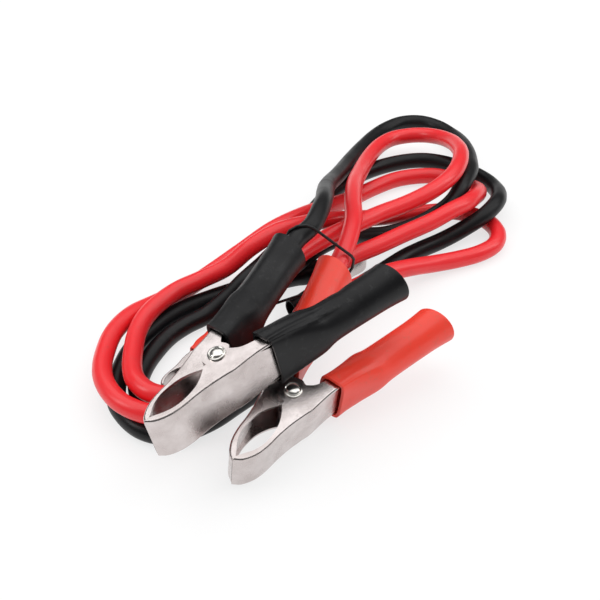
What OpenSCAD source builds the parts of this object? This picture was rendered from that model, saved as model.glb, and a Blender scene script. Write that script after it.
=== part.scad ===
// Booster cables: a red and a black lead, each with a large spring clamp and a small one,
// folded into a loose hank that a thin wire tie holds at the waist.
// Millimetres, +Z up. The hank lies on z = 0.

/* [Clamp] */
// rivet centre to jaw tip on the large clamps
jaw_l = 41; // [38:1:46]
// width across the free lever of a large clamp
clamp_w = 21; // [19:0.5:24]
// steel sheet of the large clamps
sheet_t = 1.2; // [1:0.1:1.5]
// side play between the two levers of a clamp, each side
lever_play = 0.2; // [0.15:0.05:0.4]
// gap between the closed jaws
jaw_gap = 0.15; // [0.1:0.05:0.4]
// radius of the ears round the rivet
ear_r = 6.5; // [6:0.25:7.5]

/* [Small clamp] */
// size of the small clamps' steel against the large ones
small_k = 0.5; // [0.45:0.01:0.55]
// width across the free lever of a small clamp
small_w = 9.4; // [9:0.1:9.8]
// steel sheet of the small clamps
small_sheet_t = 0.8; // [0.6:0.1:1]

/* [Rivet and spring] */
// rivet shank diameter on the large clamps
rivet_d = 4; // [3:0.25:5]
// running clearance of the free lever on the rivet, radial
rivet_play = 0.05; // [0.03:0.01:0.08]
// height of the rivet's domed heads
head_h = 1.9; // [1.4:0.1:2.4]
// spring wire diameter on the large clamps
wire_d = 1.6; // [1.2:0.1:1.8]
// whole turns of the spring
spring_turns = 3; // [2:1:4]

/* [Sleeves] */
// wall of the large sleeves
sleeve_wall = 1.6; // [1.2:0.1:2]
// wall of the small clamps' sleeves
small_wall = 0.8; // [0.6:0.1:1]
// outside diameter of a large sleeve's neck
neck_d = 18; // [17:0.25:19]
// outside diameter of a large sleeve's flared end
flare_d = 19.5; // [18:0.5:21]

/* [Cables] */
// outside diameter of both cables
cable_d = 9; // [8:0.25:9]
// diameter of the bare copper strands
strand_d = 5.2; // [4.4:0.1:5.4]
// wire of the tie
tie_d = 1.4; // [1:0.1:1.8]

/* [Hidden] */
$fn = 48;
sleeve_sides = 24;
tube_sides = 6;
rings_per_step = 2;
cable_gap = 0.2;      // cable to the sleeve of a small clamp
crimp_gap = 0.05;     // strands to the crimp ring
seat = 0.05;          // rivet head to the lever under it
tang_w = 7;           // width of a large lever's tang inside the sleeve
small_tang_w = 5;     // the same on a small clamp
cable_s = -60;        // where the cable's sheath ends, along the handle
crimp_s = [-44, -38]; // the crimp ring, along the handle
tang_end = -48;

// Moves the part so that the clamps' box is centred on the origin.
home = [3.76, -50.8, 0];

// Half outline of the closed clamp, [along, across] from the rivet: jaw back, then handle line.
jaw_back = [[0, 0], [-2.5, 3.5], [-7.5, 6.4], [-13.5, 7.8], [-21, 8.4], [-28, 9.5],
            [-35, 11.2], [-39, 12.3]];
heel = [-9, 13.6];
mouth_edge = [[7.8, 0], [11.5, 2.6], [16, 4.7], [21, 5.7], [27, 5.7], [32, 4.2], [36, 1.8], [39, 0]];
neck_edge = [[-24, 12], [-16, 9.4], [-8.5, 6.2], [-5.6, 3]];
plate_end = -10.8;    // where the side plates stop, inside the mouth of an unslipped sleeve
handle = [[-90, 31.2], [-8, 9.7]];

// Clamp places: rivet centre, [roll, pitch, yaw], scale, sleeve slip of the free lever.
black_front = [[-31, -98, 39.7], [5.8, 10.3, 229.3], 1, 5];
red_front = [[-3.7, -92.6, 16.9], [-11.9, 9, 234.3], 1, 3];
red_rear = [[-47.5, -58.2, 5.9], [180, 0, 229.5], small_k, 0];
black_rear = [[17.4, 15.8, 5.9], [180, 0, 34.6], small_k, 0];

// ---- places --------------------------------------------------------------
function turn_x(v, a) = [v.x, v.y*cos(a) - v.z*sin(a), v.y*sin(a) + v.z*cos(a)];
function turn_y(v, a) = [v.x*cos(a) + v.z*sin(a), v.y, v.z*cos(a) - v.x*sin(a)];
function turn_z(v, a) = [v.x*cos(a) - v.y*sin(a), v.x*sin(a) + v.y*cos(a), v.z];
function placed(c, p) = c[0] + turn_z(turn_y(turn_x(p, c[1].x), c[1].y), c[1].z);
function small(c) = c[2] < 1;
function width(c) = small(c) ? small_w : clamp_w;
function sheet(c) = small(c) ? small_sheet_t : sheet_t;
function wall(c) = small(c) ? small_wall : sleeve_wall;
function tang(c) = small(c) ? small_tang_w : tang_w;
function inner_w(c) = width(c) - 2*sheet(c) - 2*lever_play;
function rivet_r(c) = rivet_d/2*c[2];
function wire_r(c) = wire_d/2*c[2];
// A point of the cable lever's handle line, s measured on a large clamp.
function handle_at(c, s) = [s*c[2], -lookup(s, handle)*c[2], 0];
function on_handle(c, s) = placed(c, handle_at(c, s));
// Height of the web over the handle line: the tang lies on the crimp, or halfway up a free sleeve.
function web_off(c, cabled) = cabled ? strand_d/2 + crimp_gap + 0.2 + sheet(c) : 3.5*c[2];

module place(c) { translate(c[0] - home) rotate(c[1]) children(); }

// ---- swept tubes ---------------------------------------------------------
function unit(v) = v/norm(v);
function spline(a, b, c, d, t) =
    0.5*((2*b) + (c - a)*t + (2*a - 5*b + 4*c - d)*t*t + (3*b - a - 3*c + d)*t*t*t);
function smooth(p, n) = let (m = len(p) - 1) concat(
    [for (i = [0:m - 1], j = [0:n - 1])
        spline(i > 0 ? p[i - 1] : 2*p[0] - p[1], p[i], p[i + 1],
               i < m - 1 ? p[i + 2] : 2*p[m] - p[m - 1], j/n)], [p[m]]);
function heading(p, i, closed) = let (m = len(p)) unit(
    closed ? p[(i + 1) % m] - p[(i + m - 1) % m]
           : p[min(i + 1, m - 1)] - p[max(i - 1, 0)]);
// Rings square to the path, with one fixed direction as up.
function rings(p, r, n, up, closed) = [for (i = [0:len(p) - 1])
    let (d = heading(p, i, closed), x = unit(cross(d, up)), y = cross(x, d))
    for (j = [0:n - 1]) p[i] + r*(x*cos(360*j/n) + y*sin(360*j/n))];
function skin(m, n, closed) = concat(
    [for (i = [0:m - (closed ? 1 : 2)], j = [0:n - 1], h = [0, 1])
        let (a = i*n + j, b = i*n + (j + 1) % n,
             c = ((i + 1) % m)*n + (j + 1) % n, d = ((i + 1) % m)*n + j)
        h == 0 ? [a, b, c] : [a, c, d]],
    closed ? [] : [for (j = [1:n - 2]) [0, j + 1, j]],
    closed ? [] : [for (j = [1:n - 2]) [(m - 1)*n, (m - 1)*n + j, (m - 1)*n + j + 1]]);

module tube(p, r, up = [0, 0, 1], closed = false, n = tube_sides) {
    polyhedron(points = rings(p, r, n, up, closed), faces = skin(len(p), n, closed));
}

// ---- clamp ---------------------------------------------------------------
// Points of a large clamp's outline taken to the size of clamp c, jaw back running from the tip.
function scaled(c, pts) = [for (q = pts) q*c[2]];
function back_edge(c, cabled) = smooth(concat(
    [for (q = jaw_back) [(jaw_l + q.x)*c[2], q.y*c[2]]],
    [heel*c[2]],
    [for (s = [-20, -30, -36, tang_end])
        [s*c[2], (cabled && s <= -36 ? axis_t(s) : lookup(s, handle))*c[2]
            + web_off(c, cabled)]]), 3);
// The cable's straight end, carried on through the crimp.
function axis_t(s) = lookup(cable_s, handle)
    + (s - cable_s)*(lookup(-80, handle) - lookup(cable_s, handle))/(-80 - cable_s);
function normal_at(p, i) = let (d = unit(p[min(i + 1, len(p) - 1)] - p[max(i - 1, 0)]))
    [d.y, -d.x];
function inset(p, t) = [for (i = [0:len(p) - 1]) p[i] - t*normal_at(p, i)];
function reversed(p) = [for (i = [len(p) - 1:-1:0]) p[i]];

// The bent back of a lever: a band of sheet that narrows to the tang.
module web(c, w, cabled) {
    edge = back_edge(c, cabled);
    k = c[2];
    intersection() {
        translate([0, 0, -w/2]) linear_extrude(w)
            intersection() {
                polygon(concat(edge, reversed(inset(edge, sheet(c)))));
                translate([tang_end*k, jaw_gap/2]) square([(jaw_l - tang_end)*k, 40*k]);
            }
        rotate([-90, 0, 0]) translate([0, 0, -1]) linear_extrude(60*k)
            polygon([[jaw_l*k + 1, w/2], [-6*k, w/2], [-16*k, w/2 - 2.6*k],
                     [-30*k, tang(c)/2 + 0.3], [tang_end*k - 1, tang(c)/2],
                     [tang_end*k - 1, -tang(c)/2], [-30*k, -tang(c)/2 - 0.3],
                     [-16*k, 2.6*k - w/2], [-6*k, -w/2], [jaw_l*k + 1, -w/2]]);
    }
}

// One side plate with its ear, cut back where the sleeve begins.
module side_plate(c, cabled, hole_r) {
    k = c[2];
    end = (plate_end - (cabled ? 0 : c[3]))*k;
    difference() {
        union() {
            intersection() {
                polygon(concat(back_edge(c, cabled), scaled(c, smooth(neck_edge, 3)),
                               scaled(c, smooth(mouth_edge, 3))));
                translate([end, jaw_gap/2]) square([jaw_l*k - end, 40*k]);
            }
            circle(r = ear_r*k);
        }
        circle(r = hole_r);
    }
}

module lever(c, w, cabled, hole_r) {
    web(c, w, cabled);
    for (side = [0, 1])
        translate([0, 0, side*(w - sheet(c)) - w/2])
            linear_extrude(sheet(c)) side_plate(c, cabled, hole_r);
}

module free_lever(c) {
    place(c) lever(c, width(c), false, rivet_r(c) + rivet_play);
}

// The cable lever also carries the crimp ring that grips the strands.
module cable_lever(c) {
    place(c) {
        mirror([0, 1, 0]) lever(c, inner_w(c), true, rivet_r(c));
        cable_axis(c, crimp_s[0]) difference() {
            cylinder(r = strand_d/2 + crimp_gap + sheet(c), h = (crimp_s[1] - crimp_s[0])*c[2]);
            translate([0, 0, -1]) cylinder(r = strand_d/2 + crimp_gap, h = 20);
        }
    }
}

// Puts +Z along the cable's axis, pointing at the rivet, with z = 0 at s.
module cable_axis(c, s) {
    a = handle_at(c, -80);
    b = handle_at(c, cable_s);
    d = unit(b - a);
    translate(b + d*(s - cable_s)*c[2]) rotate([0, 90, atan2(d.y, d.x)]) children();
}

module strands(c) {
    place(c) cable_axis(c, cable_s)
        cylinder(d = strand_d, h = (crimp_s[1] - cable_s)*c[2]);
}

module rivet(c) {
    k = c[2];
    head_r = 3.9*k;
    h = head_h*k;
    dome_r = (head_r*head_r + h*h)/(2*h);
    place(c) {
        cylinder(r = rivet_r(c), h = width(c) + 2*seat + 2, center = true);
        for (side = [0, 1]) mirror([0, 0, side])
            translate([0, 0, width(c)/2 + seat]) intersection() {
                translate([0, 0, h - dome_r]) sphere(r = dome_r);
                cylinder(r = head_r, h = h);
            }
    }
}

// Torsion spring: the turns lie round the rivet, and a leg runs out to each handle.
coil_r = 4.2;
leg_turn = 55;
function leg_end(r, a, side) = [r*sin(a), side*r*cos(a)];
module spring(c) {
    k = c[2];
    r = coil_r*k;
    pitch = wire_d*k*1.12;
    total = 360*spring_turns + 2*leg_turn;
    steps = 8*spring_turns + 2;
    half = pitch*total/720;
    leg = 14.6*k - 1.8*(sheet(c) - sheet_t*k);
    far = [for (side = [-1, 1]) [r*cos(leg_turn) - leg*sin(leg_turn),
                                 side*(r*sin(leg_turn) + leg*cos(leg_turn)), side*half]];
    turns = [for (i = [0:steps])
        let (a = -leg_turn + total*i/steps) [r*cos(a), r*sin(a), half*(2*i/steps - 1)]];
    place(c) tube(concat([far[0]], turns, [far[1]]), wire_r(c));
}

// ---- sleeves -------------------------------------------------------------
// Rings of a sleeve: [s, half height, half width, squareness].
function sleeve_rings(c, w, cabled, t) = let (k = c[2],
    neck = small(c) ? (cabled ? cable_d/2 + cable_gap + small_wall : 4.2) : neck_d/2,
    flare = small(c) ? (cabled ? neck + 0.1 : 4.9) : flare_d/2,
    mouth_t = web_off(c, cabled) + wall(c) + 0.9*k, mouth_n = w/2 + wall(c) + 0.8*k)
    [for (q = [[-10, mouth_t, mouth_n, 5], [-15, mouth_t + 0.3*k, mouth_n - 0.5*k, 4],
               [-22, max(neck, mouth_t) - (small(c) ? 0.1 : 1.6), (2*mouth_n + neck)/3, 3.2],
               [-30, neck, max(neck, (mouth_n + 2*neck)/3), 2.6], [-38, neck, neck, 2],
               [-57, neck, neck, 2], [-65, (neck*2 + flare)/3, (neck*2 + flare)/3, 2],
               [-71, flare, flare, 2]])
        [q[0], q[1] - t, q[2] - t, q[3]]];
function sgn_pow(v, e) = v < 0 ? -pow(-v, e) : pow(v, e);
function sleeve_points(c, rows, slip) = [for (q = rows, j = [0:sleeve_sides - 1])
    let (a = 360*j/sleeve_sides, s = q[0] - slip)
    [s*c[2], lookup(s, handle)*c[2] + q[1]*sgn_pow(cos(a), 2/q[3]),
     q[2]*sgn_pow(sin(a), 2/q[3])]];

module sleeve_body(c, w, cabled, slip) {
    outer = sleeve_rings(c, w, cabled, 0);
    inner = sleeve_rings(c, w, cabled, wall(c));
    n = sleeve_sides;
    m = len(outer);
    pts = concat(sleeve_points(c, outer, slip), sleeve_points(c, inner, slip));
    function quad(a, b, p, q) = [[a, b, q], [a, q, p]];
    polyhedron(points = pts, faces = [
        for (i = [0:m - 2], j = [0:n - 1], f = quad(i*n + j, i*n + (j + 1) % n,
            (i + 1)*n + j, (i + 1)*n + (j + 1) % n)) f,
        for (i = [0:m - 2], j = [0:n - 1], f = quad((m + i)*n + (j + 1) % n, (m + i)*n + j,
            (m + i + 1)*n + (j + 1) % n, (m + i + 1)*n + j)) f,
        for (j = [0:n - 1], f = quad((j + 1) % n, j, m*n + (j + 1) % n, m*n + j)) f,
        for (j = [0:n - 1], f = quad((m - 1)*n + j, (m - 1)*n + (j + 1) % n,
            (2*m - 1)*n + j, (2*m - 1)*n + (j + 1) % n)) f]);
}

module free_sleeve(c) { place(c) sleeve_body(c, width(c), false, c[3]); }
module cable_sleeve(c) { place(c) mirror([0, 1, 0]) sleeve_body(c, inner_w(c), true, 0); }

// ---- cables --------------------------------------------------------------
// Each route is chosen by hand, from the large clamp through the loops to the small one.
red_route = concat([on_handle(red_front, cable_s), on_handle(red_front, -72)], [
    on_handle(red_front, -86),
    // first lobe, then the inner left loop
    [26, 14, 37.5], [27, 38, 34], [29, 64, 28], [34, 92, 20], [40, 116, 14.5],
    [47, 133, 12], [55, 143, 11], [65, 147, 11], [75, 145, 12.5], [83, 138, 15],
    [88, 127, 18.5], [90, 114, 22.5], [90, 100, 26], [87, 85, 28], [81, 72, 28],
    [70, 60, 26.5], [56, 50, 25], [41, 40, 25], [27, 28, 26], [12, 15, 26.5],
    [-1, 1, 26.5], [-10, -14, 26.5], [-16, -28, 26.3], [-20, -41, 24], [-25, -54, 19],
    [-31, -66, 17.5], [-38.2, -76, 17], [-45.5, -84.5, 16.6], [-54.5, -88, 17],
    [-64, -85.5, 17], [-71, -77.5, 16.5], [-74, -67, 15.3], [-75, -55, 14.5],
    [-75, -43, 14], [-72.5, -31, 14], [-67, -20, 14], [-59, -10, 14], [-48, -2, 14.5],
    [-36, 4, 17.5], [-24, 10.5, 25], [-12, 19, 28],
    // lowest right lobe, then the outer left loop
    [1, 28, 26.5], [15, 39, 22], [29, 49, 16], [43, 58, 11], [56, 66, 7.5],
    [69, 72, 5], [81, 74, 4.5], [93, 71, 4.5], [102, 64, 4.5], [106, 53, 4.5],
    [103, 42, 4.5], [94, 34, 4.5], [82, 28, 5], [69, 22, 6.5], [56, 14, 10],
    [43, 5, 13], [31, -5, 14], [19, -15, 14], [10, -27, 14], [1, -40, 14],
    [-9.5, -53, 13.7], [-19, -65.5, 13.5], [-27, -78.3, 13.4], [-35, -88, 13.5],
    [-45, -95.2, 13.7], [-55, -97, 14], [-66, -95, 14.2], [-76, -89, 14.2],
    [-83.5, -79, 14], [-87.5, -67, 13.2], [-88, -53, 12.5], [-86, -39, 12],
    [-80, -25, 10.5], [-71, -12, 7], [-59, 0, 5], [-45, 12, 8], [-30, 22, 14],
    // middle lobe, then back to the small clamp
    [-14, 34, 19.5], [1, 50, 17.5], [15, 67, 12], [28, 84, 6], [42, 98, 4.5],
    [55, 107, 4.5], [68, 111, 4.5], [80, 111, 4.5], [90, 106, 4.5], [97, 98, 5.5],
    [99.5, 88, 9.5], [98, 77, 14], [94, 67, 18], [88, 57, 20.5], [79, 49, 21],
    [68, 41, 19.5], [53, 32, 18], [39, 22, 17.5], [25, 12, 17.5], [15, 1, 17],
    [9, -9, 15.5], [3.5, -19.5, 12], [-2.5, -30, 8]],
    [on_handle(red_rear, -90), on_handle(red_rear, -77), on_handle(red_rear, cable_s)]);

black_route = concat([on_handle(black_front, cable_s), on_handle(black_front, -70),
                      on_handle(black_front, -79)], [
    // first lobe, then the inner left loop
    [5.5, -12, 52.9], [9.6, 1, 53.2], [11.8, 16, 50], [12.8, 35.5, 42], [15, 60, 30.5],
    [21, 86, 20.5], [29, 115, 12.5], [37, 138, 7.5], [46, 157, 5], [55, 168.5, 4.5],
    [65, 175, 4.5], [76, 175.5, 4.5], [86, 169.5, 4.5], [93, 158, 5.5], [96.5, 143, 9],
    [97.5, 125, 13.5], [97, 108, 16.5], [95, 93, 19], [89, 77.5, 19.5], [82, 67, 15],
    [71, 60, 10], [58, 55, 6], [45, 49, 6], [33, 42, 10], [22, 33, 15.5], [10, 22, 17],
    [0, 10, 17], [-9, -3, 17], [-15, -16, 17], [-20, -29, 17], [-28, -41, 17],
    [-36, -53, 17.2], [-42, -63.5, 17], [-46.3, -72, 15.5], [-52.5, -79.3, 11.5],
    [-60.5, -82, 7.8], [-68, -78.3, 5.2], [-72.3, -69, 4.5], [-71, -56, 4.5],
    [-67, -44, 4.5], [-61.5, -33.5, 4.5], [-54, -25, 4.5], [-45, -17.5, 4.7],
    [-35.5, -10, 9], [-27, -3, 14.5], [-18.5, 6, 17.5], [-13.5, 17, 16],
    // second lobe, then the outer left loop
    [-10, 28, 11], [-6, 41, 6], [0, 56, 4.5], [7, 73, 4.5], [17, 92, 4.5],
    [31, 109, 4.5], [45, 120, 4.5], [60, 127, 4.5], [74, 129, 4.5], [87, 125, 4.5],
    [98, 117, 4.5], [107, 105.5, 5], [110.5, 92, 7.5], [110, 80, 11], [106.5, 68, 13.5],
    [98, 57.5, 12], [85, 50, 7.5], [74, 44, 5], [63, 37, 4.5], [54, 30, 4.5],
    [45, 21, 4.5], [36, 12, 4.5], [27, 3, 4.5], [19, -7, 4.5], [13, -18, 4.5],
    [9, -30, 4.5], [4, -42, 4.5], [-3, -54, 4.5], [-12, -64, 4.5], [-21, -73, 4.5],
    [-29, -81, 4.5], [-37, -89, 4.5], [-46, -95, 4.5], [-56, -98.5, 4.5], [-66, -96, 4.5],
    [-74, -89, 4.5], [-80, -79, 4.5], [-82, -67, 4.5], [-81, -55, 4.5], [-78, -43, 4.5],
    [-72, -31, 4.5], [-64, -20, 4.5], [-54, -11, 4.5], [-43, -4, 4.5], [-33, 1, 5]],
    [on_handle(black_rear, -90), on_handle(black_rear, -77), on_handle(black_rear, cable_s)]);

// The tie lies in one upright plane across the waist: points are [x, z].
tie_y = -18;
tie_skew = 0.1;
tie_loop = [[-4.7, 54.4], [-1.2, 56.6], [2.8, 56.8], [5.9, 55.3], [23.8, 38.4], [25.1, 36.3],
            [24.6, 31.4], [22.9, 28.2], [17, 22.2], [8.4, 17.9], [3.8, 18.2], [-13.2, 12.4],
            [-17.1, 11.8], [-21.8, 16], [-21.7, 19], [-18.1, 27.5], [-16.8, 30.1]];

function homed(p) = [for (q = p) q - home];
red_path = smooth(homed(red_route), rings_per_step);
black_path = smooth(homed(black_route), rings_per_step);

module red_cable() { color([0.86, 0.08, 0.09]) tube(red_path, cable_d/2); }
module black_cable() { color([0.07, 0.07, 0.08]) tube(black_path, cable_d/2); }
module tie() {
    color([0.06, 0.06, 0.06])
        tube(homed([for (q = tie_loop) [q.x, tie_y + tie_skew*q.x, q.y]]), tie_d/2,
             [0, 1, 0], true);
}

// Prints the least gap of each cable to itself and its length.
function gap_to_itself(p, skip) = min([for (i = [0:len(p) - 1])
    for (j = [i + skip:1:len(p) - 1]) norm(p[i] - p[j])]) - cable_d;
function run(p) = sum_of([for (i = [1:len(p) - 1]) norm(p[i] - p[i - 1])]);
function sum_of(v, i = 0, t = 0) = i < len(v) ? sum_of(v, i + 1, t + v[i]) : t;
echo(red_gap = gap_to_itself(smooth(red_route, 4), 16), red_length = run(red_path));
echo(black_gap = gap_to_itself(smooth(black_route, 4), 16), black_length = run(black_path));

// ---- nodes ---------------------------------------------------------------
steel = [0.72, 0.70, 0.66];
dark = [0.10, 0.10, 0.11];
orange_red = [0.89, 0.16, 0.10];

module black_front_cable_lever() { color(steel) cable_lever(black_front); }
module black_front_free_lever() { color(steel) free_lever(black_front); }
module black_front_rivet() { color(steel) rivet(black_front); }
module black_front_spring() { color(steel) spring(black_front); }
module black_front_cable_sleeve() { color(dark) cable_sleeve(black_front); }
module black_front_free_sleeve() { color(dark) free_sleeve(black_front); }
module black_front_strands() { color([0.72, 0.42, 0.26]) strands(black_front); }
module red_front_cable_lever() { color(steel) cable_lever(red_front); }
module red_front_free_lever() { color(steel) free_lever(red_front); }
module red_front_rivet() { color(steel) rivet(red_front); }
module red_front_spring() { color(steel) spring(red_front); }
module red_front_cable_sleeve() { color(orange_red) cable_sleeve(red_front); }
module red_front_free_sleeve() { color(orange_red) free_sleeve(red_front); }
module red_front_strands() { color([0.72, 0.42, 0.26]) strands(red_front); }
module black_rear_cable_lever() { color(steel) cable_lever(black_rear); }
module black_rear_free_lever() { color(steel) free_lever(black_rear); }
module black_rear_rivet() { color(steel) rivet(black_rear); }
module black_rear_spring() { color(steel) spring(black_rear); }
module black_rear_cable_sleeve() { color(dark) cable_sleeve(black_rear); }
module black_rear_free_sleeve() { color(dark) free_sleeve(black_rear); }
module black_rear_strands() { color([0.72, 0.42, 0.26]) strands(black_rear); }
module red_rear_cable_lever() { color(steel) cable_lever(red_rear); }
module red_rear_free_lever() { color(steel) free_lever(red_rear); }
module red_rear_rivet() { color(steel) rivet(red_rear); }
module red_rear_spring() { color(steel) spring(red_rear); }
module red_rear_cable_sleeve() { color(orange_red) cable_sleeve(red_rear); }
module red_rear_free_sleeve() { color(orange_red) free_sleeve(red_rear); }
module red_rear_strands() { color([0.72, 0.42, 0.26]) strands(red_rear); }

black_front_cable_lever();
black_front_free_lever();
black_front_rivet();
black_front_spring();
black_front_cable_sleeve();
black_front_free_sleeve();
black_front_strands();
red_front_cable_lever();
red_front_free_lever();
red_front_rivet();
red_front_spring();
red_front_cable_sleeve();
red_front_free_sleeve();
red_front_strands();
black_rear_cable_lever();
black_rear_free_lever();
black_rear_rivet();
black_rear_spring();
black_rear_cable_sleeve();
black_rear_free_sleeve();
black_rear_strands();
red_rear_cable_lever();
red_rear_free_lever();
red_rear_rivet();
red_rear_spring();
red_rear_cable_sleeve();
red_rear_free_sleeve();
red_rear_strands();
red_cable();
black_cable();
tie();
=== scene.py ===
import math

import bmesh
import bpy
from mathutils import Euler, Matrix, Vector


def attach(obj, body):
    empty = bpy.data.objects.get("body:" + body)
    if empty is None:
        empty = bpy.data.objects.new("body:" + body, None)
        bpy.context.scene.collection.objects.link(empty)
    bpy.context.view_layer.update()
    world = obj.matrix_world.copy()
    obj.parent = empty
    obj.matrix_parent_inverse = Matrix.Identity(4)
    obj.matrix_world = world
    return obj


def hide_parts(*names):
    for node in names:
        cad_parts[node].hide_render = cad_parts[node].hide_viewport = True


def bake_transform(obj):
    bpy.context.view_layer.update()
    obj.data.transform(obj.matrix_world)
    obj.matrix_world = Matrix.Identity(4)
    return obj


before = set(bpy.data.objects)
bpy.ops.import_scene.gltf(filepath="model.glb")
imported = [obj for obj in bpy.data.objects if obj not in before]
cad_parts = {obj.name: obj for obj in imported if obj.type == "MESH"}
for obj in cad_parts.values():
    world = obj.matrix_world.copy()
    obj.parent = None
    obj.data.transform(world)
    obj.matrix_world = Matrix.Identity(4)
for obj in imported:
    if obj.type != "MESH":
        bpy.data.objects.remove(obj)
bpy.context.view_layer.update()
MM = 0.001


# ---- Camera ----------------------------------------------------------------
# A tabletop camera looks down at the hank from the jaws' side, about half a metre away.
# It aims at the point on the table from which the routes and clamps below are measured.
home = Vector((3.76, -50.8, 0)) * MM          # the part's own shift, as in its source
camera_dip = math.radians(38)
camera_reach = 525 * MM
sensor_mm = 36
frame_side = 600
focal_px = 1050                               # the lens, in the frame's own pixels


def put(name, data):
    """An object of this data, in the scene."""
    thing = bpy.data.objects.new(name, data)
    bpy.context.scene.collection.objects.link(thing)
    return thing


def point_at(thing, place, aim):
    thing.location = place
    thing.rotation_euler = (Vector(aim) - Vector(place)).to_track_quat("-Z", "Y").to_euler()


camera = put("camera", bpy.data.cameras.new("camera"))
camera.data.sensor_width = sensor_mm
camera.data.lens = sensor_mm * focal_px / frame_side
camera.data.clip_start = 10 * MM
back_and_up = Vector((0, -math.cos(camera_dip), math.sin(camera_dip)))
point_at(camera, -home + camera_reach * back_and_up, -home)
bpy.context.scene.camera = camera
bpy.context.scene.view_settings.view_transform = "Standard"


# ---- Clamp places ----------------------------------------------------------
# Each lead ends in a large spring clamp in front and a half-size one under the loops.
# A clamp's own axes run along the jaws, across the handles and along the rivet, in
# millimetres from the rivet's middle.
handle_near, handle_far = (-8, 9.7), (-90, 31.2)     # along the jaws, off the middle plane
lever_play = 0.2                                     # between the levers, each side
large_sheet, small_sheet = 1.2, 0.8
large = {"size": 1, "width": 21, "sheet": large_sheet, "wall": 1.6}
small = {"size": 0.5, "width": 9.4, "sheet": small_sheet, "wall": 0.8}


def handle_height(s):
    """Distance of a large clamp's handle line from the middle plane, at s along the jaws."""
    share = (s - handle_near[0]) / (handle_far[0] - handle_near[0])
    return handle_near[1] + share * (handle_far[1] - handle_near[1])


class Clamp:
    def __init__(self, name, at, turn, size, width, sheet, wall, slip=0):
        self.name, self.colour = name, name.split("_")[0]
        self.size, self.width, self.sheet, self.wall, self.slip = size, width, sheet, wall, slip
        self.inner_width = width - 2 * sheet - 2 * lever_play
        turned = Euler([math.radians(a) for a in turn], "XYZ").to_matrix().to_4x4()
        self.place = Matrix.Translation(Vector(at)) @ turned
        self.to_frame = Matrix.Translation(-home) @ Matrix.Scale(MM, 4) @ self.place

    def point(self, s, t=0.0, n=0.0):
        """A point of the clamp as a place in the frame, in metres."""
        return (self.place @ Vector((s, t, n))) * MM - home

    def on_handle(self, s):
        """A point of the cable lever's handle line, s as on a large clamp."""
        return self.point(s * self.size, -handle_height(s) * self.size)


black_front = Clamp("black_front", (-31, -98, 39.7), (5.8, 10.3, 229.3), slip=5, **large)
red_front = Clamp("red_front", (-3.7, -92.6, 16.9), (-11.9, 9, 234.3), slip=3, **large)
red_rear = Clamp("red_rear", (-47.5, -58.2, 5.9), (180, 0, 229.5), **small)
black_rear = Clamp("black_rear", (17.4, 15.8, 5.9), (180, 0, 34.6), **small)
clamps = (black_front, red_front, black_rear, red_rear)


# ---- Leads -----------------------------------------------------------------
# Two 9 mm leads in smooth PVC, one red and one black, limp enough to fold by hand.
# Each runs from its large clamp through the loops of the hank to its small clamp.
lead_diameter = 9 * MM
# places along the handles: where the sheath ends, and where a lead comes out of its sleeve
sheath_end = -60
red_start, black_start = (-72, -86), (-70, -79)
small_clamp_run = (-90, -77)
steps_per_point = 8

red_route = [
    # first lobe, then the inner left loop
    (26, 14, 37.5), (27, 38, 34), (29, 64, 28), (34, 92, 20), (40, 116, 14.5),
    (47, 133, 12), (55, 143, 11), (65, 147, 11), (75, 145, 12.5), (83, 138, 15),
    (88, 127, 18.5), (90, 114, 22.5), (90, 100, 26), (87, 85, 28), (81, 72, 28),
    (70, 60, 26.5), (56, 50, 25), (41, 40, 25), (27, 28, 26), (12, 15, 26.5),
    (-1, 1, 26.5), (-10, -14, 26.5), (-16, -28, 26.3), (-20, -41, 24), (-25, -54, 19),
    (-31, -66, 17.5), (-38.2, -76, 17), (-45.5, -84.5, 16.6), (-54.5, -88, 17),
    (-64, -85.5, 17), (-71, -77.5, 16.5), (-74, -67, 15.3), (-75, -55, 14.5),
    (-75, -43, 14), (-72.5, -31, 14), (-67, -20, 14), (-59, -10, 14), (-48, -2, 14.5),
    (-36, 4, 17.5), (-24, 10.5, 25), (-12, 19, 28),
    # lowest right lobe, then the outer left loop
    (1, 28, 26.5), (15, 39, 22), (29, 49, 16), (43, 58, 11), (56, 66, 7.5), (69, 72, 5),
    (81, 74, 4.5), (93, 71, 4.5), (102, 64, 4.5), (106, 53, 4.5), (103, 42, 4.5),
    (94, 34, 4.5), (82, 28, 5), (69, 22, 6.5), (56, 14, 10), (43, 5, 13), (31, -5, 14),
    (19, -15, 14), (10, -27, 14), (1, -40, 14), (-9.5, -53, 13.7), (-19, -65.5, 13.5),
    (-27, -78.3, 13.4), (-35, -88, 13.5), (-45, -95.2, 13.7), (-55, -97, 14),
    (-66, -95, 14.2), (-76, -89, 14.2), (-83.5, -79, 14), (-87.5, -67, 13.2),
    (-88, -53, 12.5), (-86, -39, 12), (-80, -25, 10.5), (-71, -12, 7), (-59, 0, 5),
    (-45, 12, 8), (-30, 22, 14),
    # middle lobe, then back to the small clamp
    (-14, 34, 19.5), (1, 50, 17.5), (15, 67, 12), (28, 84, 6), (42, 98, 4.5),
    (55, 107, 4.5), (68, 111, 4.5), (80, 111, 4.5), (90, 106, 4.5), (97, 98, 5.5),
    (99.5, 88, 9.5), (98, 77, 14), (94, 67, 18), (88, 57, 20.5), (79, 49, 21),
    (68, 41, 19.5), (53, 32, 18), (39, 22, 17.5), (25, 12, 17.5), (15, 1, 17),
    (9, -9, 15.5), (3.5, -19.5, 12), (-2.5, -30, 8)]
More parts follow.
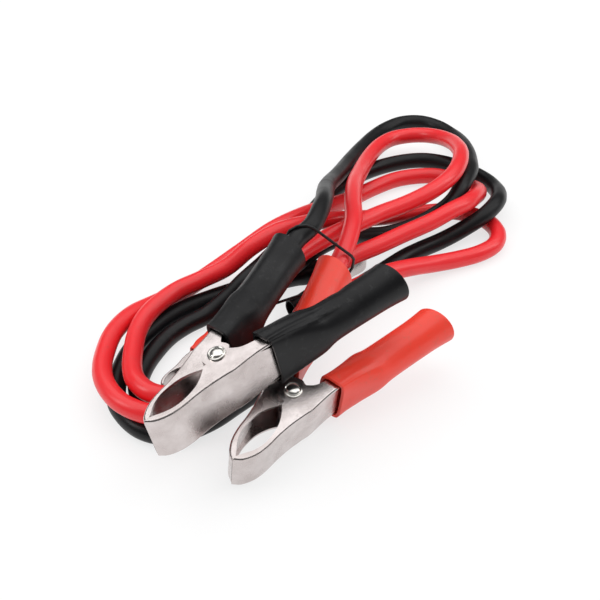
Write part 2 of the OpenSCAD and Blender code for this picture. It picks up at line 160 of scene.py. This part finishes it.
black_route = [
    # first lobe, then the inner left loop
    (5.5, -12, 52.9), (9.6, 1, 53.2), (11.8, 16, 50), (12.8, 35.5, 42), (15, 60, 30.5),
    (21, 86, 20.5), (29, 115, 12.5), (37, 138, 7.5), (46, 157, 5), (55, 168.5, 4.5),
    (65, 175, 4.5), (76, 175.5, 4.5), (86, 169.5, 4.5), (93, 158, 5.5), (96.5, 143, 9),
    (97.5, 125, 13.5), (97, 108, 16.5), (95, 93, 19), (89, 77.5, 19.5), (82, 67, 15),
    (71, 60, 10), (58, 55, 6), (45, 49, 6), (33, 42, 10), (22, 33, 15.5), (10, 22, 17),
    (0, 10, 17), (-9, -3, 17), (-15, -16, 17), (-20, -29, 17), (-28, -41, 17),
    (-36, -53, 17.2), (-42, -63.5, 17), (-46.3, -72, 15.5), (-52.5, -79.3, 11.5),
    (-60.5, -82, 7.8), (-68, -78.3, 5.2), (-72.3, -69, 4.5), (-71, -56, 4.5),
    (-67, -44, 4.5), (-61.5, -33.5, 4.5), (-54, -25, 4.5), (-45, -17.5, 4.7),
    (-35.5, -10, 9), (-27, -3, 14.5), (-18.5, 6, 17.5), (-13.5, 17, 16),
    # second lobe, then the outer left loop and back to the small clamp
    (-10, 28, 11), (-6, 41, 6), (0, 56, 4.5), (7, 73, 4.5), (17, 92, 4.5), (31, 109, 4.5),
    (45, 120, 4.5), (60, 127, 4.5), (74, 129, 4.5), (87, 125, 4.5), (98, 117, 4.5),
    (107, 105.5, 5), (110.5, 92, 7.5), (110, 80, 11), (106.5, 68, 13.5), (98, 57.5, 12),
    (85, 50, 7.5), (74, 44, 5), (63, 37, 4.5), (54, 30, 4.5), (45, 21, 4.5), (36, 12, 4.5),
    (27, 3, 4.5), (19, -7, 4.5), (13, -18, 4.5), (9, -30, 4.5), (4, -42, 4.5),
    (-3, -54, 4.5), (-12, -64, 4.5), (-21, -73, 4.5), (-29, -81, 4.5), (-37, -89, 4.5),
    (-46, -95, 4.5), (-56, -98.5, 4.5), (-66, -96, 4.5), (-74, -89, 4.5), (-80, -79, 4.5),
    (-82, -67, 4.5), (-81, -55, 4.5), (-78, -43, 4.5), (-72, -31, 4.5), (-64, -20, 4.5),
    (-54, -11, 4.5), (-43, -4, 4.5), (-33, 1, 5)]


def handling_group():
    """Soft smudges and fine scuffs from handling, as masks, and the scuffs' height."""
    tree = bpy.data.node_groups.new("handling marks", "ShaderNodeTree")
    for name, kind, value in (("Smudge scale", "NodeSocketFloat", 60),
                              ("Scuff scale", "NodeSocketFloat", 400),
                              ("Scuff stretch", "NodeSocketVector", (1, 1, 1))):
        socket = tree.interface.new_socket(name=name, in_out="INPUT", socket_type=kind)
        socket.default_value = value
    for name in ("Smudge", "Scuff", "Height"):
        tree.interface.new_socket(name=name, in_out="OUTPUT", socket_type="NodeSocketFloat")
    n, link = tree.nodes, tree.links.new
    given, handed = n.new("NodeGroupInput"), n.new("NodeGroupOutput")
    where = n.new("ShaderNodeTexCoord")
    smudge = n.new("ShaderNodeTexNoise")
    smudge.inputs["Detail"].default_value = 3
    smudge.inputs["Roughness"].default_value = 0.6
    soft = n.new("ShaderNodeMapRange")
    soft.inputs["From Min"].default_value = 0.35
    soft.inputs["From Max"].default_value = 0.68
    stretch = n.new("ShaderNodeVectorMath")
    stretch.operation = "MULTIPLY"
    scuff = n.new("ShaderNodeTexNoise")
    scuff.inputs["Detail"].default_value = 5
    scuff.inputs["Roughness"].default_value = 0.7
    sharp = n.new("ShaderNodeMapRange")
    sharp.inputs["From Min"].default_value = 0.56
    sharp.inputs["From Max"].default_value = 0.74
    link(where.outputs["Object"], smudge.inputs["Vector"])
    link(given.outputs["Smudge scale"], smudge.inputs["Scale"])
    link(smudge.outputs["Fac"], soft.inputs["Value"])
    link(where.outputs["Object"], stretch.inputs[0])
    link(given.outputs["Scuff stretch"], stretch.inputs[1])
    link(stretch.outputs["Vector"], scuff.inputs["Vector"])
    link(given.outputs["Scuff scale"], scuff.inputs["Scale"])
    link(scuff.outputs["Fac"], sharp.inputs["Value"])
    link(soft.outputs["Result"], handed.inputs["Smudge"])
    link(sharp.outputs["Result"], handed.inputs["Scuff"])
    link(scuff.outputs["Fac"], handed.inputs["Height"])
    return tree


handling = handling_group()
colour_a, colour_b, colour_out = 6, 7, 2      # a Mix node's colour sockets, by number


def finish_material(name, base, marked, rough, rough_marked, metallic=0.0, smudge_scale=60,
                    scuff_scale=400, stretch=(1, 1, 1), grain=0.02, coat=0.0, specular=0.5,
                    tarnish=0.0):
    """A finish that drifts from clean to marked; tarnish is how far smudges darken it."""
    mat = bpy.data.materials.new(name)
    mat.use_nodes = True
    n, link = mat.node_tree.nodes, mat.node_tree.links.new

    def maths(operation):
        node = n.new("ShaderNodeMath")
        node.operation = operation
        return node

    shader = n["Principled BSDF"]
    shader.inputs["Metallic"].default_value = metallic
    shader.inputs["Specular IOR Level"].default_value = specular
    shader.inputs["Coat Weight"].default_value = coat
    shader.inputs["Coat Roughness"].default_value = 0.2
    marks = n.new("ShaderNodeGroup")
    marks.node_tree = handling
    marks.inputs["Smudge scale"].default_value = smudge_scale
    marks.inputs["Scuff scale"].default_value = scuff_scale
    marks.inputs["Scuff stretch"].default_value = stretch
    colour = n.new("ShaderNodeMix")
    colour.data_type = "RGBA"
    colour.inputs[colour_a].default_value = (*base, 1)
    colour.inputs[colour_b].default_value = (*marked, 1)
    gloss = n.new("ShaderNodeMapRange")
    gloss.inputs["To Min"].default_value = rough
    gloss.inputs["To Max"].default_value = rough_marked
    bump = n.new("ShaderNodeBump")
    bump.inputs["Strength"].default_value = grain
    bump.inputs["Distance"].default_value = 0.4 * MM
    worn, faint, stain = maths("MAXIMUM"), maths("MULTIPLY"), maths("MAXIMUM")
    faint.inputs[1].default_value = tarnish
    link(marks.outputs["Smudge"], worn.inputs[0])
    link(marks.outputs["Scuff"], worn.inputs[1])
    link(worn.outputs["Value"], gloss.inputs["Value"])
    link(marks.outputs["Smudge"], faint.inputs[0])
    link(faint.outputs["Value"], stain.inputs[0])
    link(marks.outputs["Scuff"], stain.inputs[1])
    link(stain.outputs["Value"], colour.inputs["Factor"])
    link(colour.outputs[colour_out], shader.inputs["Base Color"])
    link(gloss.outputs["Result"], shader.inputs["Roughness"])
    link(marks.outputs["Height"], bump.inputs["Height"])
    link(bump.outputs["Normal"], shader.inputs["Normal"])
    return mat


def placed(points):
    """Points in millimetres from home, as places in the frame."""
    return [Vector(p) * MM - home for p in points]


def eased(points, steps):
    """A smooth line through the points, with that many steps from one to the next."""
    ends = [2 * points[0] - points[1], *points, 2 * points[-1] - points[-2]]
    line = []
    for a, b, c, d in zip(ends, ends[1:], ends[2:], ends[3:]):
        for i in range(steps):
            t = i / steps
            line.append(0.5 * (2 * b + (c - a) * t + (2 * a - 5 * b + 4 * c - d) * t * t
                               + (3 * b - a - 3 * c + d) * t ** 3))
    return line + [points[-1]]


def tube(name, line, radius, material, roundness, closed=False):
    """A round tube along a line, as a curve of one spline."""
    curve = bpy.data.curves.new(name, "CURVE")
    curve.dimensions = "3D"
    curve.bevel_depth = radius
    curve.bevel_resolution = roundness
    curve.use_fill_caps = not closed
    spline = curve.splines.new("POLY")
    spline.points.add(len(line) - 1)
    for point, place in zip(spline.points, line):
        point.co = (*place, 1)
    spline.use_cyclic_u = closed
    spline.use_smooth = True
    curve.materials.append(material)
    return put(name, curve)


red_pvc = finish_material("red lead PVC", (0.79, 0.016, 0.022), (0.70, 0.024, 0.027),
                          0.3, 0.42, smudge_scale=45, scuff_scale=160, grain=0.05, coat=0.12)
black_pvc = finish_material("black lead PVC", (0.005, 0.005, 0.006), (0.014, 0.014, 0.015),
                            0.34, 0.5, smudge_scale=45, scuff_scale=200, grain=0.05,
                            specular=0.3)

for colour, front, start, route, rear, material in (
        ("red", red_front, red_start, red_route, red_rear, red_pvc),
        ("black", black_front, black_start, black_route, black_rear, black_pvc)):
    points = ([front.on_handle(s) for s in (sheath_end, *start)] + placed(route)
              + [rear.on_handle(s) for s in (*small_clamp_run, sheath_end)])
    line = eased(points, steps_per_point)
    lead = tube(f"{colour}_lead", line, lead_diameter / 2, material, roundness=6)
    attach(lead, "hank")
    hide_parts(f"{colour}_cable")


# ---- Wire tie --------------------------------------------------------------
# A plastic-coated wire holds the two clamp ends and the upper loops at the waist.
# It lies in one upright plane, drawn round the bundle.
tie_radius = 0.7 * MM
tie_y, tie_skew = -18, 0.1
tie_loop = ((-4.7, 54.4), (-1.2, 56.6), (2.8, 56.8), (5.9, 55.3), (23.8, 38.4), (25.1, 36.3),
            (24.6, 31.4), (22.9, 28.2), (17, 22.2), (8.4, 17.9), (3.8, 18.2), (-13.2, 12.4),
            (-17.1, 11.8), (-21.8, 16), (-21.7, 19), (-18.1, 27.5), (-16.8, 30.1))
tie_line = placed([(x, tie_y + tie_skew * x, z) for x, z in tie_loop])
coated_wire = finish_material("coated tie wire", (0.008, 0.008, 0.009), (0.03, 0.03, 0.03),
                              0.35, 0.5, scuff_scale=600)
tie = tube("waist_tie", tie_line, tie_radius, coated_wire, roundness=3, closed=True)
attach(tie, "hank")
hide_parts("tie")


# ---- Clamp levers ----------------------------------------------------------
# Stamped sheet, bent to a channel and nickel plated: soft folds along the back, cut edges
# just broken, smudged and finely scratched from use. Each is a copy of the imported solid.
fold_radius, edge_break = 0.85, 0.12          # in sheets
fold_steps, break_steps = 4, 2
broken_from, lever_sharp_from = 50, 34        # degrees
face_band = 0.02                              # how near the outer face a fold lies
nickel = finish_material("nickel-plated sheet", (0.68, 0.62, 0.61), (0.46, 0.395, 0.375),
                         0.15, 0.32, metallic=1.0, smudge_scale=90, scuff_scale=1500,
                         stretch=(1, 1, 1.6), grain=0.12, tarnish=0.45)


def shade(bm, sharp_from):
    """Smooth shading, with a sharp edge wherever two faces turn more than that."""
    for f in bm.faces:
        f.smooth = True
    for e in bm.edges:
        e.smooth = len(e.link_faces) == 2 and e.calc_face_angle() < math.radians(sharp_from)


def piece_of(bm, name, material):
    mesh = bpy.data.meshes.new(name)
    bm.to_mesh(mesh)
    bm.free()
    mesh.materials.append(material)
    return put(name, mesh)


def dressed_lever(clamp, kind, width, side):
    """A lever with rolled folds and broken edges; side is the way its back faces."""
    node = f"{clamp.name}_{kind}"
    bm = bmesh.new()
    bm.from_mesh(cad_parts[node].data)
    bmesh.ops.remove_doubles(bm, verts=bm.verts, dist=0.002 * MM)
    bmesh.ops.dissolve_limit(bm, angle_limit=math.radians(1), verts=bm.verts, edges=bm.edges)
    to_clamp = clamp.to_frame.inverted()
    turn = to_clamp.to_3x3().normalized()

    def fold(edge):
        """The outer corner between the back and a side plate."""
        if len(edge.link_faces) != 2:
            return False
        if any(abs((to_clamp @ v.co).z) < width / 2 - face_band for v in edge.verts):
            return False
        ways = [turn @ f.normal for f in edge.link_faces]
        plates = [w for w in ways if abs(w.z) > 0.95]
        backs = [w for w in ways if abs(w.z) < 0.3 and w.y * side > 0.2]
        return bool(plates and backs)

    folds = [e for e in bm.edges if fold(e)]
    bmesh.ops.bevel(bm, geom=folds, offset=fold_radius * clamp.sheet * MM,
                    offset_type="OFFSET", segments=fold_steps, profile=0.5,
                    affect="EDGES", clamp_overlap=False, material=-1)
    crisp = [e for e in bm.edges if len(e.link_faces) == 2 and e.is_convex
             and e.calc_face_angle() > math.radians(broken_from)]
    bmesh.ops.bevel(bm, geom=crisp, offset=edge_break * clamp.sheet * MM,
                    offset_type="OFFSET", segments=break_steps, profile=0.5,
                    affect="EDGES", clamp_overlap=True, material=-1)
    shade(bm, lever_sharp_from)
    lever = piece_of(bm, f"{node}_dressed", nickel)
    even = lever.modifiers.new("even shading", "WEIGHTED_NORMAL")
    even.keep_sharp = True
    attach(lever, "hank" if kind == "cable_lever" else f"{clamp.name}_free_side")
    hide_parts(node)


for clamp in clamps:
    dressed_lever(clamp, "free_lever", clamp.width, 1)
    dressed_lever(clamp, "cable_lever", clamp.inner_width, -1)


# ---- Rivets ----------------------------------------------------------------
# A bright steel rivet joins the levers of each clamp. Each end is a flat-rimmed head with
# a low dome, and the whole is turned from one outline.
head_radius, head_rise, shank_radius = 3.9, 1.9, 2
head_seat = 0.05                              # head to the lever under it
dome_share, dome_steps = 0.76, 8
bright = finish_material("bright rivet steel", (0.82, 0.80, 0.76), (0.62, 0.60, 0.56), 0.14,
                         0.3, metallic=1.0, smudge_scale=220, scuff_scale=900, grain=0.03)

for clamp in clamps:
    half = clamp.width / 2 + head_seat
    head, rise, shank = (clamp.size * r for r in (head_radius, head_rise, shank_radius))
    # one end's dome, flat rim and shank, as distance from the axis and place along it
    outline = [(0, half + 0.9 * rise)]
    for i in range(1, dome_steps + 1):
        a = math.pi / 2 * i / dome_steps
        outline.append((dome_share * head * math.sin(a),
                        half + (0.3 + 0.6 * math.cos(a)) * rise))
    outline += [(0.86 * head, half + 0.42 * rise), (0.96 * head, half + 0.36 * rise),
                (head, half + 0.2 * rise), (head, half), (shank, half)]
    outline += [(r, -n) for r, n in reversed(outline)]
    bm = bmesh.new()
    verts = [bm.verts.new((r, 0, n)) for r, n in outline]
    edges = [bm.edges.new(pair) for pair in zip(verts, verts[1:])]
    bmesh.ops.spin(bm, geom=verts + edges, cent=(0, 0, 0), axis=(0, 0, 1),
                   angle=2 * math.pi, steps=32, use_merge=True)
    bmesh.ops.remove_doubles(bm, verts=bm.verts, dist=0.0005)
    bmesh.ops.recalc_face_normals(bm, faces=bm.faces)
    shade(bm, sharp_from=40)
    bm.transform(clamp.to_frame)
    rivet = piece_of(bm, f"{clamp.name}_rivet_domed", bright)
    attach(rivet, "hank")
    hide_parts(f"{clamp.name}_rivet")


# ---- Springs ---------------------------------------------------------------
# A torsion spring of round wire sits on each rivet, and a leg presses on each lever's back.
# The turns wind up between the legs as the jaw opens.
coil_radius, wire_radius = 4.2, 0.8
coil_turns, leg_turn = 3, math.radians(55)
coil_pitch = 1.12                             # in wire diameters
leg_length, leg_per_sheet = 14.6, 1.8         # a thicker back leaves the leg less room
steps_per_turn = 24
bend_reach = 3.4                              # across the hinge, to each side; two points at this reach are computed and not used
spring_wire = finish_material("drawn spring wire", (0.45, 0.45, 0.46), (0.3, 0.29, 0.28), 0.3,
                              0.5, metallic=1.0, scuff_scale=700)

for clamp in clamps:
    k = clamp.size
    coil = coil_radius * k
    leg = leg_length * k - leg_per_sheet * (clamp.sheet - large_sheet * k)
    sweep = 2 * math.pi * coil_turns + 2 * leg_turn
    rise = coil_pitch * 2 * wire_radius * k * sweep / (4 * math.pi)
    ends = [(coil * math.cos(leg_turn) - leg * math.sin(leg_turn),
             way * (coil * math.sin(leg_turn) + leg * math.cos(leg_turn)), way * rise)
            for way in (-1, 1)]
    steps = steps_per_turn * coil_turns
    turns = []
    for i in range(steps + 1):
        a = sweep * i / steps - leg_turn
        turns.append((coil * math.cos(a), coil * math.sin(a), rise * (2 * i / steps - 1)))
    name = f"{clamp.name}_torsion_spring"
    wire = tube(f"{name}_line", [clamp.point(*p) for p in (ends[0], *turns, ends[1])],
                wire_radius * k * MM, spring_wire, roundness=3)
    bpy.context.view_layer.update()
    mesh = bpy.data.meshes.new_from_object(
        wire.evaluated_get(bpy.context.evaluated_depsgraph_get()))
    bpy.data.objects.remove(wire)
    mesh.name = name
    spring = put(name, mesh)
    clamp.point(0, -bend_reach * k)
    clamp.point(0, bend_reach * k)
    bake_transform(spring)
    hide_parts(f"{clamp.name}_spring")


# ---- Grip sleeves ----------------------------------------------------------
# Soft vinyl sleeves pulled over the handles: squared and stretched at the mouth, where long
# ridges run back from the steel's corners, round at the neck and flared at the end.
large_neck, large_flare = 9, 9.75             # outside radii
small_neck = {"cable_sleeve": 5.5, "free_sleeve": 4.2}
small_flare = {"cable_sleeve": 5.6, "free_sleeve": 4.9}
mouth_above, mouth_beside = 0.9, 0.8          # room round the steel, inside the wall
cable_tang = 2.85                             # handle line to the tang that lies on the crimp
free_tang = 3.5                               # handle line to the outside of a free lever's tang
ridge_angles = [math.radians(a) for a in (58, 78, 96, 118)]   # from the outer side round
ridge_width, ridge_fade = 0.09, 12            # radians round, millimetres along
ridge_gather, gather_from, gather_run = 0.35, -14, 34         # ridges draw together
kink_at, kink_reach, kink_slant = -49, 2.4, 3                 # the crease
wall_share, lip_share = 0.92, 0.3             # of the sleeve's wall
red_vinyl = finish_material("red vinyl sleeve", (0.83, 0.040, 0.018), (0.70, 0.06, 0.03), 0.33,
                            0.5, smudge_scale=50, scuff_scale=260, grain=0.10, coat=0.06)
black_vinyl = finish_material("black vinyl sleeve", (0.006, 0.006, 0.007),
                              (0.022, 0.022, 0.023), 0.36, 0.55, smudge_scale=50,
                              scuff_scale=300, grain=0.10, specular=0.3)
vinyls = {"red": red_vinyl, "black": black_vinyl}


def sleeve_rings(clamp, kind, width):
    """Rings from mouth to end: place along the handle, half height, half width, squareness."""
    k, is_small = clamp.size, clamp.size < 1
    neck = small_neck[kind] if is_small else large_neck
    flare = small_flare[kind] if is_small else large_flare
    lift = cable_tang + clamp.sheet if kind == "cable_sleeve" else free_tang * k
    high = lift + clamp.wall + mouth_above * k
    wide = width / 2 + clamp.wall + mouth_beside * k
    waist = (2 * neck + flare) / 3
    return [(-10, high, wide, 5),
            (-15, high + 0.3 * k, wide - 0.5 * k, 4),
            (-22, max(neck, high) - (0.1 if is_small else 1.6), (2 * wide + neck) / 3, 3.2),
            (-30, neck, max(neck, (wide + 2 * neck) / 3), 2.6),
            (-38, neck, neck, 2),
            (-57, neck, neck, 2),
            (-65, waist, waist, 2),
            (-71, flare, flare, 2)]


def within_one(x):
    return max(0.0, min(1.0, x))


def wrinkle(s, a, ridge, kink):
    """Rise of the vinyl: ridges of that height from the mouth, and a crease of that depth."""
    shown = within_one((s - kink_at) / ridge_fade)
    gather = 1 - ridge_gather * within_one((gather_from - s) / gather_run)
    side = math.pi / 2
    rise = sum(math.exp(-((a - side - (r - side) * gather) / ridge_width) ** 2)
               for r in ridge_angles)
    dip = math.exp(-((s - kink_at - kink_slant * math.cos(a)) / kink_reach) ** 2)
    return ridge * shown * rise - kink * dip * max(0, math.sin(a))


def squared(x, squareness):
    """A sine or cosine for a ring that is round at 2 and squarer above."""
    return math.copysign(abs(x) ** (2 / squareness), x)


def sleeve(clamp, kind, width, side, ridge, kink=0.0):
    """A sleeve over one lever's handle; side is 1 or -1, across the clamp's middle plane."""
    k = clamp.size
    cabled = kind == "cable_sleeve"
    ring_points, ring_steps = (32, 3) if k < 1 else (72, 6)
    slip = 0 if cabled else clamp.slip
    bm = bmesh.new()
    loops = []
    rings = [Vector(ring) for ring in sleeve_rings(clamp, kind, width)]
    for s, high, wide, squareness in eased(rings, ring_steps):
        ring = bmesh.ops.create_circle(bm, segments=ring_points, radius=1)["verts"]
        at = s - slip
        for v in ring:
            a = math.atan2(v.co.y, v.co.x)
            rise = wrinkle(s, a, ridge, kink)
            outward = (high + rise) * squared(math.cos(a), squareness)
            v.co = (at * k, side * (handle_height(at) * k + outward),
                    (wide + rise) * squared(math.sin(a), squareness))
        loops.append([e for e in bm.edges if e.verts[0] in ring and e.verts[1] in ring])
    for near, far in zip(loops, loops[1:]):
        bmesh.ops.bridge_loops(bm, edges=near + far)
    bmesh.ops.recalc_face_normals(bm, faces=bm.faces)
    for f in bm.faces:
        f.smooth = True
    bm.transform(clamp.to_frame)
    grip = piece_of(bm, f"{clamp.name}_{kind}_vinyl", vinyls[clamp.colour])
    wall = grip.modifiers.new("wall", "SOLIDIFY")
    wall.thickness = wall_share * clamp.wall * MM
    wall.offset = -1
    lip = grip.modifiers.new("lip", "BEVEL")
    lip.width = lip_share * clamp.wall * MM
    lip.segments = 3
    lip.limit_method = "ANGLE"
    lip.angle_limit = math.radians(60)
    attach(grip, "hank" if cabled else f"{clamp.name}_free_side")
    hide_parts(f"{clamp.name}_{kind}")


for clamp in clamps:
    # the large black clamp's free sleeve is the one that is stretched and creased
    ridge, kink = (0.75, 0.7) if clamp is black_front else (0.18 * clamp.size, 0)
    sleeve(clamp, "free_sleeve", clamp.width, 1, ridge, kink)
    sleeve(clamp, "cable_sleeve", clamp.inner_width, -1, 0.1 * clamp.size)


# ---- Bare strands ----------------------------------------------------------
# Inside each cable sleeve the lead's copper strands leave the sheath and end in the crimp
# ring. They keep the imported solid's shape, a plain round bundle.
copper = finish_material("bare copper strands", (0.74, 0.36, 0.20), (0.45, 0.20, 0.10), 0.3,
                         0.5, metallic=1.0, scuff_scale=900, grain=0.2)
for clamp in clamps:
    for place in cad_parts[f"{clamp.name}_strands"].material_slots:
        place.material = copper


# ---- Table top, light and surroundings -------------------------------------
# A plain white table top under soft studio light: a broad lamp overhead, a small one at the
# left and a narrow strip at the right. The surround looks white, and is dim in the steel.
table_reach = 4               # from its middle to each side, in metres
table_glow = 0.72             # share of white that the camera and mirrors see in the table
surround_fill, surround_seen, surround_mirrored = 0.6, 1.0, 0.12
hank_middle = (0, 0.05, 0.02)

bm = bmesh.new()
bmesh.ops.create_grid(bm, x_segments=1, y_segments=1, size=table_reach)
paper = bpy.data.materials.new("white table top")
table = piece_of(bm, "table_top", paper)

paper.use_nodes = True
n, link = paper.node_tree.nodes, paper.node_tree.links.new
card = n["Principled BSDF"]
card.inputs["Base Color"].default_value = (0.9, 0.9, 0.9, 1)
card.inputs["Roughness"].default_value = 0.9
glow = n.new("ShaderNodeEmission")
glow.inputs["Strength"].default_value = 1.0
ray = n.new("ShaderNodeLightPath")
either = n.new("ShaderNodeMath")
either.operation = "MAXIMUM"
share = n.new("ShaderNodeMath")
share.operation = "MULTIPLY"
share.inputs[1].default_value = table_glow
blend = n.new("ShaderNodeMixShader")
link(ray.outputs["Is Camera Ray"], either.inputs[0])
link(ray.outputs["Is Glossy Ray"], either.inputs[1])
link(either.outputs["Value"], share.inputs[0])
link(share.outputs["Value"], blend.inputs["Fac"])
link(card.outputs["BSDF"], blend.inputs[1])
link(glow.outputs["Emission"], blend.inputs[2])
link(blend.outputs["Shader"], n["Material Output"].inputs["Surface"])

world = bpy.data.worlds.new("white surround")
bpy.context.scene.world = world
world.use_nodes = True
n, link = world.node_tree.nodes, world.node_tree.links.new
fill, seen, mirrored = n["Background"], n.new("ShaderNodeBackground"), n.new("ShaderNodeBackground")
for ground, strength in ((fill, surround_fill), (seen, surround_seen),
                         (mirrored, surround_mirrored)):
    ground.inputs["Color"].default_value = (1, 1, 1, 1)
    ground.inputs["Strength"].default_value = strength
ray = n.new("ShaderNodeLightPath")
for_gloss, for_camera = n.new("ShaderNodeMixShader"), n.new("ShaderNodeMixShader")
link(ray.outputs["Is Glossy Ray"], for_gloss.inputs["Fac"])
link(fill.outputs["Background"], for_gloss.inputs[1])
link(mirrored.outputs["Background"], for_gloss.inputs[2])
link(ray.outputs["Is Camera Ray"], for_camera.inputs["Fac"])
link(for_gloss.outputs["Shader"], for_camera.inputs[1])
link(seen.outputs["Background"], for_camera.inputs[2])
link(for_camera.outputs["Shader"], n["World Output"].inputs["Surface"])


def lamp(name, place, size, watts):
    """A soft rectangular lamp that points at the hank."""
    light = bpy.data.lights.new(name, "AREA")
    light.shape = "RECTANGLE"
    light.size, light.size_y = size
    light.energy = watts
    point_at(put(name, light), place, hank_middle)


lamp("overhead softbox", (0.1, 0.5, 1.6), (3.0, 2.2), 27)
lamp("left softbox", (-0.9, -0.1, 0.7), (0.35, 0.5), 2.2)
lamp("right strip", (0.9, 0.2, 0.6), (0.2, 0.6), 1.5)
